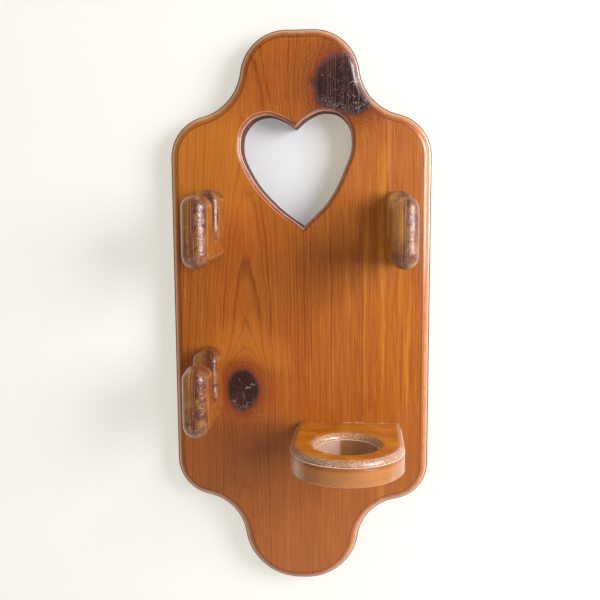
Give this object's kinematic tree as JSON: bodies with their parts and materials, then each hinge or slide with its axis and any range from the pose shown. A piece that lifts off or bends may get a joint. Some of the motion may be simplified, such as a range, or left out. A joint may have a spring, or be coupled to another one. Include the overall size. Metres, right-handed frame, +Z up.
{
  "type": "razor stand",
  "caption": "Scalloped knotty-pine wall board with a heart cut-out, open wooden hooks and a D-shaped ring shelf that holds a cup, brush or razor.",
  "frame": {"origin": "on the flat back of the board, half-way across it and half-way up its straight sides", "axes": "+Z up, +Y out of the back towards the wall, so the front faces -Y, and +X to the viewer's right"},
  "size_m": [0.184, 0.1072, 0.3982],
  "materials": {
    "board_pine": "glossy honey varnish over knotty pine",
    "hook_pine": "worn glossy brown varnish",
    "shelf_pine": "glossy orange varnish, worn pale on the rounded edges",
    "zinc_steel": "dull zinc plate",
    "brass_steel": "yellow passivated plate"
  },
  "bodies": {
    "root": {"back_board": "board_pine", "upper_left_hook": "hook_pine", "upper_right_hook": "hook_pine", "lower_left_hook": "hook_pine", "ring_shelf": "shelf_pine", "upper_left_hook_screw_top": "zinc_steel", "upper_left_hook_screw_bottom": "zinc_steel", "upper_right_hook_screw_top": "zinc_steel", "upper_right_hook_screw_bottom": "zinc_steel", "lower_left_hook_screw_top": "zinc_steel", "lower_left_hook_screw_bottom": "zinc_steel", "ring_shelf_screw_left": "zinc_steel", "ring_shelf_screw_right": "zinc_steel", "sawtooth_hanger": "brass_steel", "hanger_nail_left": "zinc_steel", "hanger_nail_right": "zinc_steel"}
  },
  "joints": []
}
